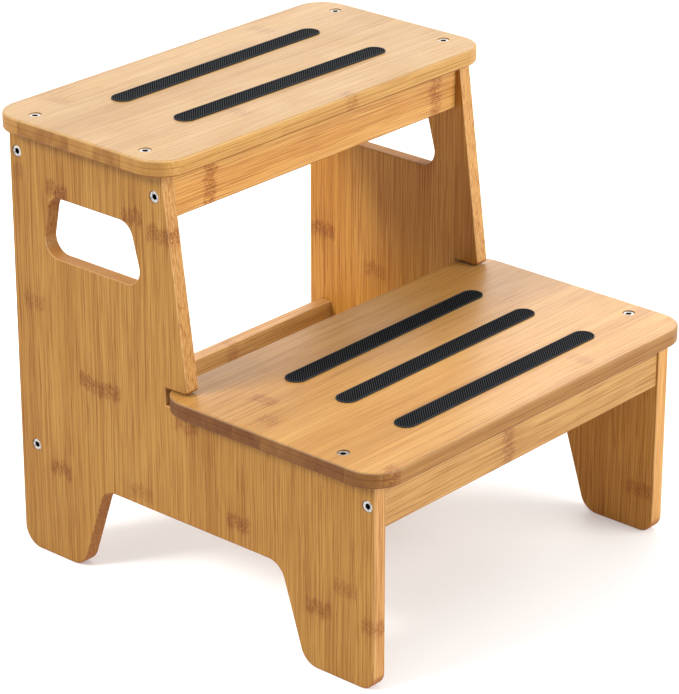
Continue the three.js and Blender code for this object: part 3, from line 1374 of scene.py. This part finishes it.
@dataclass
class SidePanels(Boards):
    """The two upright side panels, each one board with feet, a shoulder, a notch and a handle hole."""

    slot = "panel_bamboo"
    thickness: float = 12 * MM
    edge_round: float = 1 * MM
    top_front: float = 153.8 * MM
    tip_front: float = 175.7 * MM
    tip_radius: float = 3 * MM
    arch_height: float = 72.2 * MM
    rear_foot: Between = (62.9 * MM, 87.7 * MM)
    front_foot: Between = (286.5 * MM, 263.4 * MM)
    foot_radius: float = 16 * MM
    toe_radius: float = 12 * MM
    shoulder: float = 161.2 * MM
    notch_rear: float = 153.3 * MM
    notch_top: float = 175.2 * MM
    handle_levels: Between = (245.8 * MM, 293.4 * MM)
    handle_rear: Between = (31.3 * MM, 40.6 * MM)
    handle_front: Between = (133.8 * MM, 121 * MM)
    handle_radius: float = 13 * MM

    def outline(self, length: float, height: float) -> list[Corner]:
        """The panel's corners, from the rear foot counter-clockwise.

        Args:
            length: How far forward the panel reaches.
            height: Its height.

        Returns:
            The corners in (forward, height).
        """
        radius = self.foot_radius
        return [
            Corner(0, 0, radius),
            Corner(self.rear_foot[0], 0, radius),
            Corner(self.rear_foot[1], self.arch_height, radius),
            Corner(self.front_foot[1], self.arch_height, radius),
            Corner(self.front_foot[0], 0, radius),
            Corner(length, 0, self.toe_radius),
            Corner(length, self.shoulder),
            Corner(self.notch_rear, self.shoulder),
            Corner(self.notch_rear, self.notch_top),
            Corner(self.tip_front, self.notch_top, self.tip_radius),
            Corner(self.top_front, height),
            Corner(0, height),
        ]

    def handle(self) -> list[Corner]:
        """The handle hole's corners.

        Returns:
            The corners in (forward, height), clockwise.
        """
        low, high = self.handle_levels
        places = ((self.handle_rear[0], low), (self.handle_rear[1], high),
                  (self.handle_front[1], high), (self.handle_front[0], low))
        return [Corner(forward, height, self.handle_radius) for forward, height in places]

    def blank(self, node: str) -> tuple[Solid, Matrix]:
        """Cuts a panel to its outline.

        Args:
            node: The CAD panel.

        Returns:
            The panel, lying flat, and the placing that stands it up.
        """
        low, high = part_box(node)
        size = high - low
        outlines = [
            rounded_outline(self.outline(size.y, size.z), self.arc_steps),
            rounded_outline(self.handle(), self.arc_steps),
        ]
        levels = rounded_levels(self.thickness, self.edge_round, self.edge_steps)
        standing = Matrix(((0, 0, 1, low.x), (-1, 0, 0, high.y), (0, 1, 0, low.z), (0, 0, 0, 1)))
        return solid_from_levels(outlines, levels), standing

    def belongs(self, node: str, screw: str) -> bool:
        """Whether a screw goes into a panel: every screw on its side does."""
        return node.split("_")[0] in screw

    def finish(self, name: str, node: str, look: BoardLook) -> BambooFinish:
        """A panel's bamboo, with its knuckles given as (forward, height, width, strength).

        Args:
            name: The finish's name.
            node: The CAD panel.
            look: The panel's look.

        Returns:
            The finish.
        """
        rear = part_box(node)[1].y
        knuckles = tuple(Knuckle(z * MM, rear - u * MM, w * MM, k) for u, z, w, k in look.knuckles)
        return BambooFinish(name, Grain.UPRIGHT, look.seed, look.tones, knuckles)


@dataclass
class Treads(Boards):
    """The two treads, flat boards with round corners and softly rounded edges."""

    slot = "tread_bamboo"
    corner_radius: float = 25 * MM
    edge_round: float = 1.6 * MM
    roughness: float = 0.42
    gloss: float = 0.2
    streaks: float = 0.22

    def blank(self, node: str) -> tuple[Solid, Matrix]:
        """Cuts a tread.

        Args:
            node: The CAD tread.

        Returns:
            The tread and its placing.
        """
        low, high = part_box(node)
        outline = rounded_outline(four_corners(low.xy, high.xy, self.corner_radius), self.arc_steps)
        levels = rounded_levels(high.z - low.z, self.edge_round, self.edge_steps)
        return solid_from_levels([outline], levels), Matrix.Translation((0, 0, low.z))

    def finish(self, name: str, node: str, look: BoardLook) -> BambooFinish:
        """A tread's bamboo, with knuckles as (sideways, behind the front edge, width, strength).

        Args:
            name: The finish's name.
            node: The CAD tread, whose own box places the glue lines.
            look: The tread's look.

        Returns:
            The finish.
        """
        low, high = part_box(node)
        knuckles = tuple(Knuckle(x * MM, low.y + back * MM, w * MM, k) for x, back, w, k in look.knuckles)
        return BambooFinish(name, Grain.CROSSWISE_FLAT, look.seed, look.tones, knuckles, ply_top=high.z,
                            ply_depth=high.z - low.z, roughness=self.roughness, gloss=self.gloss,
                            coat=look.coat, streaks=self.streaks)


@dataclass
class Rails(Boards):
    """The four cross rails, bars with rounded long edges that butt against the panels."""

    slot = "rail_bamboo"
    long_edge: float = 1.5 * MM
    end_edge: float = 0.25 * MM
    end_steps: int = 2
    strip_width: float = 19 * MM
    gloss: float = 0.25

    def blank(self, node: str) -> tuple[Solid, Matrix]:
        """Cuts a rail.

        Args:
            node: The CAD rail.

        Returns:
            The rail, standing on its end, and the placing that lays it across the stool.
        """
        low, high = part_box(node)
        outline = rounded_outline(four_corners(low.yz, high.yz, self.long_edge), self.edge_steps)
        levels = rounded_levels(high.x - low.x, self.end_edge, self.end_steps)
        lying = Matrix(((0, 0, 1, low.x), (1, 0, 0, 0), (0, 1, 0, 0), (0, 0, 0, 1)))
        return solid_from_levels([outline], levels), lying

    def finish(self, name: str, node: str, look: BoardLook) -> BambooFinish:
        """A rail's bamboo, with its knuckles given as (sideways, strength).

        Args:
            name: The finish's name.
            node: The CAD rail.
            look: The rail's look.

        Returns:
            The finish.
        """
        low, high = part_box(node)
        middle, width = (low.z + high.z) / 2, 2 * (high.z - low.z)
        knuckles = tuple(Knuckle(x * MM, middle, width, k) for x, k in look.knuckles)
        return BambooFinish(name, Grain.CROSSWISE_STANDING, look.seed, look.tones, knuckles,
                            strip_width=self.strip_width, gloss=self.gloss)


# ---------------------------------------------------------------- grip strips


@dataclass
class GripStrips:
    """Black rubber strips with round ends, a plain rim and fine ribs across them."""

    length: float = 220 * MM
    width: float = 17 * MM
    rim: float = 0.9 * MM
    floor: float = 0.15 * MM
    edge_round: float = 0.2 * MM
    bevel: float = 0.3
    rib_pitch: float = 1.61 * MM
    rib_width: float = 0.72 * MM
    rib_slant: float = 45
    rib_rise: float = 0.94
    rib_sides: int = 8
    arc_steps: int = 28
    slot: str = "grip_rubber"
    turns: dict[str, float] = field(default_factory=lambda: {
        "upper_front_grip_strip": -1.0,
        "lower_rear_grip_strip": 0.8,
        "lower_middle_grip_strip": 0.4,
    })

    def solid(self, levels: Sequence[Level]) -> Solid:
        """A solid on the strip's outline, which ends in half circles.

        Args:
            levels: Its rings.

        Returns:
            The solid.
        """
        half, end = self.length / 2, self.width / 2
        outline = rounded_outline(four_corners((-half, -end), (half, end), end), self.arc_steps)
        return solid_from_levels([outline], levels)

    def mat(self, name: str, thickness: float) -> Shape:
        """The strip without its ribs: a tray with a rounded rim.

        Args:
            name: The object's name.
            thickness: The strip's thickness.

        Returns:
            The tray, centred on the origin and standing on it.
        """
        soft, bevel = self.edge_round, self.edge_round * self.bevel
        return as_object(self.solid([
            Level(0, 0),
            Level(0, thickness - soft),
            Level(bevel, thickness - bevel),
            Level(soft, thickness),
            Level(self.rim - soft, thickness),
            Level(self.rim, self.floor),
        ]), name)

    def rib_tree(self) -> bpy.types.NodeTree:
        """Geometry nodes that lay ribs slantwise across the strip, from end to end.

        Returns:
            The tree.
        """
        numbers = ("Pitch", "Slant", "Rib Width", "Half Length", "Reach", "Level", "Rise")
        graph = start_tree("grip_ribs", "Start", numbers)
        given = graph.add("NodeGroupInput").outputs
        whole = graph.times(given["Half Length"], 2.0)
        count = graph.math("FLOOR", graph.math("DIVIDE", whole, given["Pitch"]))
        covered = graph.times(graph.less(count, 1.0), given["Pitch"])
        line = graph.add("GeometryNodeMeshLine", mode="OFFSET")
        graph.wire(line, Count=count, Offset=graph.combine(given["Pitch"], 0.0, 0.0),
                   Start_Location=graph.combine(graph.times(covered, -0.5), 0.0, given["Level"]))
        rib = graph.put("GeometryNodeMeshCylinder", Vertices=self.rib_sides, Depth=2.0,
                        Radius=graph.times(given["Rib Width"], 0.5))
        laid = graph.put("GeometryNodeTransform", Geometry=rib.outputs["Mesh"],
                         Rotation=(math.pi / 2, math.pi / self.rib_sides, 0.0))
        placed = graph.put("GeometryNodeInstanceOnPoints", Points=line.outputs[0], Instance=laid.outputs[0],
                           Rotation=graph.combine(0.0, 0.0, given["Slant"]),
                           Scale=graph.combine(1.0, given["Reach"], given["Rise"]))
        finish_tree(graph, placed.outputs[0], given["Finish"])
        return graph.tree

    def ribs(self, thickness: float, material: bpy.types.Material) -> Shape:
        """The ribs, trimmed so that they end inside the rim.

        Args:
            thickness: The strip's thickness.
            material: What they are made of.

        Returns:
            The ribs.
        """
        made = as_object(bmesh.new(), "ribs")
        half = self.rib_width / 2 * math.cos(math.pi / self.rib_sides)
        slant = math.radians(self.rib_slant)
        run_tree(made, self.rib_tree(), {
            "Pitch": self.rib_pitch / math.cos(slant),
            "Slant": -slant,
            "Rib Width": self.rib_width,
            "Half Length": self.length / 2 + self.width / 2,
            "Reach": self.width,
            "Level": self.floor,
            "Rise": (thickness - self.floor) * self.rib_rise / half,
            "Finish": material,
        })
        prism = self.solid([Level(self.rim / 2, self.floor / 2), Level(self.rim / 2, thickness)])
        carve(made, [as_object(prism, "trim")], "INTERSECT")
        return made

    def mark_crests(self, made: Shape, thickness: float) -> None:
        """Notes on each point how near it is to the strip's top, which the finish uses to paint shade low
        down between the ribs.

        Args:
            made: The strip.
            thickness: Its thickness.
        """
        heights = [(vertex.co.z - self.floor) / (thickness - self.floor) for vertex in made.data.vertices]
        attribute = made.data.attributes.new(CREST, "FLOAT", "POINT")
        attribute.data.foreach_set("value", [min(1.0, max(0.0, height)) ** 2 for height in heights])

    def build(self, finish: GripFinish) -> None:
        """Makes every strip, from one pattern.

        Args:
            finish: What the strips are made of.
        """
        material = finish.material()
        nodes = nodes_named("_grip_strip")
        low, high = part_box(nodes[0])
        thickness = high.z - low.z
        pattern = self.mat("grip_pattern", thickness)
        join(pattern, self.ribs(thickness, material))
        smooth(pattern)
        self.mark_crests(pattern, thickness)
        for node in nodes:
            low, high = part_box(node)
            middle = (low + high) / 2
            turn = Matrix.Rotation(math.radians(self.turns.get(node, 0.0)), 4, "Z")
            made = copied(pattern, "fine_" + node, Matrix.Translation((middle.x, middle.y, low.z)) @ turn)
            dress(made, material, node)
        remove(pattern)


# ---------------------------------------------------------------- studio


@dataclass(frozen=True)
class SoftLight:
    """A broad soft light, far away: the way to it, its strength, and how many degrees wide it looks."""

    name: str
    towards: Triple
    strength: float
    spread: float
    colour: Colour

    def build(self) -> None:
        """Hangs the light."""
        light = bpy.data.lights.new(self.name, "SUN")
        light.energy = self.strength
        light.angle = math.radians(self.spread)
        light.color = self.colour
        made = in_scene(self.name, light)
        made.location = self.towards
        made.rotation_euler = Vector(self.towards).to_track_quat("Z", "Y").to_euler()


@dataclass
class Studio:
    """The pale floor, the soft lights and the camera."""

    floor_size: float = 14.0
    floor_drop: float = 0.1 * MM
    floor_colour: Colour = (0.74, 0.74, 0.74)
    floor_mottle: Colour = (0.76, 0.76, 0.76)
    floor_roughness: float = 0.7
    mottle_scale: float = 3.0
    mottle_matt: float = 0.1
    floor_gloss: float = 0.2
    floor_light: Values = (1.0, 0.995, 0.99, 1.0)
    floor_glow: float = 0.28
    world_colour: Values = (1.0, 0.99, 0.98, 1.0)
    world_strength: float = 0.5
    lights: tuple[SoftLight, ...] = (
        SoftLight("top_light", (0.0, 0.1, 1.0), 1.2, 70, (1.0, 0.99, 0.97)),
        SoftLight("back_light", (0.75, 0.66, 0.48), 1.3, 44, (1.0, 0.99, 0.97)),
        SoftLight("front_light", (0.35, -0.85, 0.40), 3.1, 50, (1.0, 0.98, 0.95)),
        SoftLight("rear_left_light", (-0.88, 0.42, 0.8), 3.0, 20, (1.0, 0.98, 0.95)),
    )
    azimuth: float = -48.588
    elevation: float = 23.685
    distance: float = 2.5814
    aim: Triple = (0.1082, 0.1020, 0.0933)
    lens: float = 167.55
    sensor: float = 36.0

    def build(self) -> None:
        """Makes the whole studio."""
        self.floor()
        self.world()
        for light in self.lights:
            light.build()
        self.camera()
        settings = bpy.context.scene.view_settings
        settings.view_transform = "Standard"
        settings.look = "None"

    def floor(self) -> None:
        """Lays the floor just under the feet."""
        sheet = bmesh.new()
        bmesh.ops.create_grid(sheet, x_segments=1, y_segments=1, size=self.floor_size / 2)
        made = as_object(sheet, "floor", Matrix.Translation((0, 0, -self.floor_drop)))
        material, graph, shader = start_material("pale_floor")
        mottle = graph.noise(object_place(graph), self.mottle_scale)
        graph.wire(shader, Base_Color=graph.mix(mottle, self.floor_colour, self.floor_mottle),
                   Roughness=graph.scaled(mottle, self.mottle_matt, self.floor_roughness),
                   Specular_IOR_Level=self.floor_gloss, Emission_Color=self.floor_light,
                   Emission_Strength=self.floor_glow)
        made.data.materials.append(material)

    def world(self) -> None:
        """Surrounds the stool with even white light."""
        world = bpy.data.worlds.new("studio")
        world.use_nodes = True
        background = world.node_tree.nodes["Background"]
        background.inputs["Color"].default_value = self.world_colour
        background.inputs["Strength"].default_value = self.world_strength
        bpy.context.scene.world = world

    def camera(self) -> None:
        """Sets the camera up, looking at the stool from its front left."""
        azimuth, elevation = math.radians(self.azimuth), math.radians(self.elevation)
        back = Vector((
            math.sin(azimuth) * math.cos(elevation),
            -math.cos(azimuth) * math.cos(elevation),
            math.sin(elevation),
        ))
        data = bpy.data.cameras.new("camera")
        data.lens = self.lens
        data.sensor_width = self.sensor
        made = in_scene("camera", data)
        made.location = Vector(self.aim) + back * self.distance
        made.rotation_euler = (-back).to_track_quat("-Z", "Y").to_euler()
        bpy.context.scene.camera = made


# ---------------------------------------------------------------- the stool


UPPER_RAIL_TONES = Tones.shown(light=(202, 160, 94), dark=(190, 142, 75), knuckle=(170, 104, 40),
                               edge=(196, 150, 90), end=(160, 106, 54))
# A darker copy of the rail tones for the lower front rail: painted shade that holds back the floor's bounce
# light on it.
LOWER_RAIL_TONES = Tones.shown(light=(181, 145, 87), dark=(167, 127, 69), knuckle=(155, 98, 42),
                               edge=(184, 142, 86), end=(160, 106, 54))
PANELS = {
    "left_side_panel": BoardLook(
        seed=1.0,
        tones=Tones.shown(light=(160, 121, 60), dark=(147, 105, 47), knuckle=(134, 80, 27),
                          edge=(184, 142, 88), end=(170, 118, 60)),
        knuckles=(
            (48, 300, 24, 1), (124, 299, 22, 0.9), (150, 292, 26, 0.9), (20, 205, 24, 0.6),
            (86, 155, 46, 1), (42, 75, 24, 0.9), (127, 83, 26, 0.5), (174, 152, 26, 0.7),
            (223, 90, 24, 0.9), (325, 73, 24, 0.6), (300, 49, 26, 0.9), (346, 50, 14, 0.7),
            (8, 305, 12, 0.5),
        ),
    ),
    "right_side_panel": BoardLook(
        seed=5.0,
        # Lighter tones than the left panel's: painted light that brightens this panel's shaded inner face.
        tones=Tones.shown(light=(190, 138, 66), dark=(176, 122, 51), knuckle=(150, 90, 32),
                          edge=(190, 148, 92), end=(176, 122, 62)),
        knuckles=((14, 164, 28, 0.9), (70, 143, 24, 0.6), (338, 34, 26, 0.7), (120, 250, 24, 0.5)),
    ),
}
TREADS = {
    "upper_tread": BoardLook(
        seed=2.0,
        tones=Tones.shown(light=(165, 131, 76), dark=(153, 117, 61), knuckle=(146, 95, 46),
                          edge=(186, 145, 80), end=(122, 80, 32)),
        knuckles=((-62, 36, 24, 0.45), (-130, 152, 22, 0.4), (88, 153, 24, 0.4), (20, 4, 12, 0.5)),
        coat=0.12,
    ),
    "lower_tread": BoardLook(
        seed=7.0,
        # The dark end tone is painted shade on the lower tread's shaded left end.
        tones=Tones.shown(light=(186, 144, 82), dark=(170, 126, 66), knuckle=(156, 98, 44),
                          edge=(141, 101, 48), end=(92, 52, 14)),
        knuckles=((-135, 145, 24, 0.7), (-158, 120, 20, 0.5), (-160, 4, 12, 0.7), (70, 20, 24, 0.4)),
        coat=0.24,
    ),
}
RAILS = {
    "upper_front_rail": BoardLook(10.0, UPPER_RAIL_TONES, ((-117, 1), (133, 0.9))),
    "upper_rear_rail": BoardLook(11.0, UPPER_RAIL_TONES, ((-60, 0.7), (110, 0.6))),
    "lower_front_rail": BoardLook(12.0, LOWER_RAIL_TONES, ((-21, 0.8),)),
    "lower_rear_rail": BoardLook(13.0, UPPER_RAIL_TONES, ((40, 0.5),)),
}


def main() -> None:
    """Builds the studio, then every piece of the stool."""
    logging.basicConfig(level=logging.INFO, format="%(message)s")
    Studio().build()
    screws = FurnitureScrew()
    SidePanels(screws).build(PANELS)
    Treads(screws).build(TREADS)
    Rails(screws).build(RAILS)
    GripStrips().build(GripFinish())
    screws.build(SteelFinish())


if __name__ == "__main__":
    main()
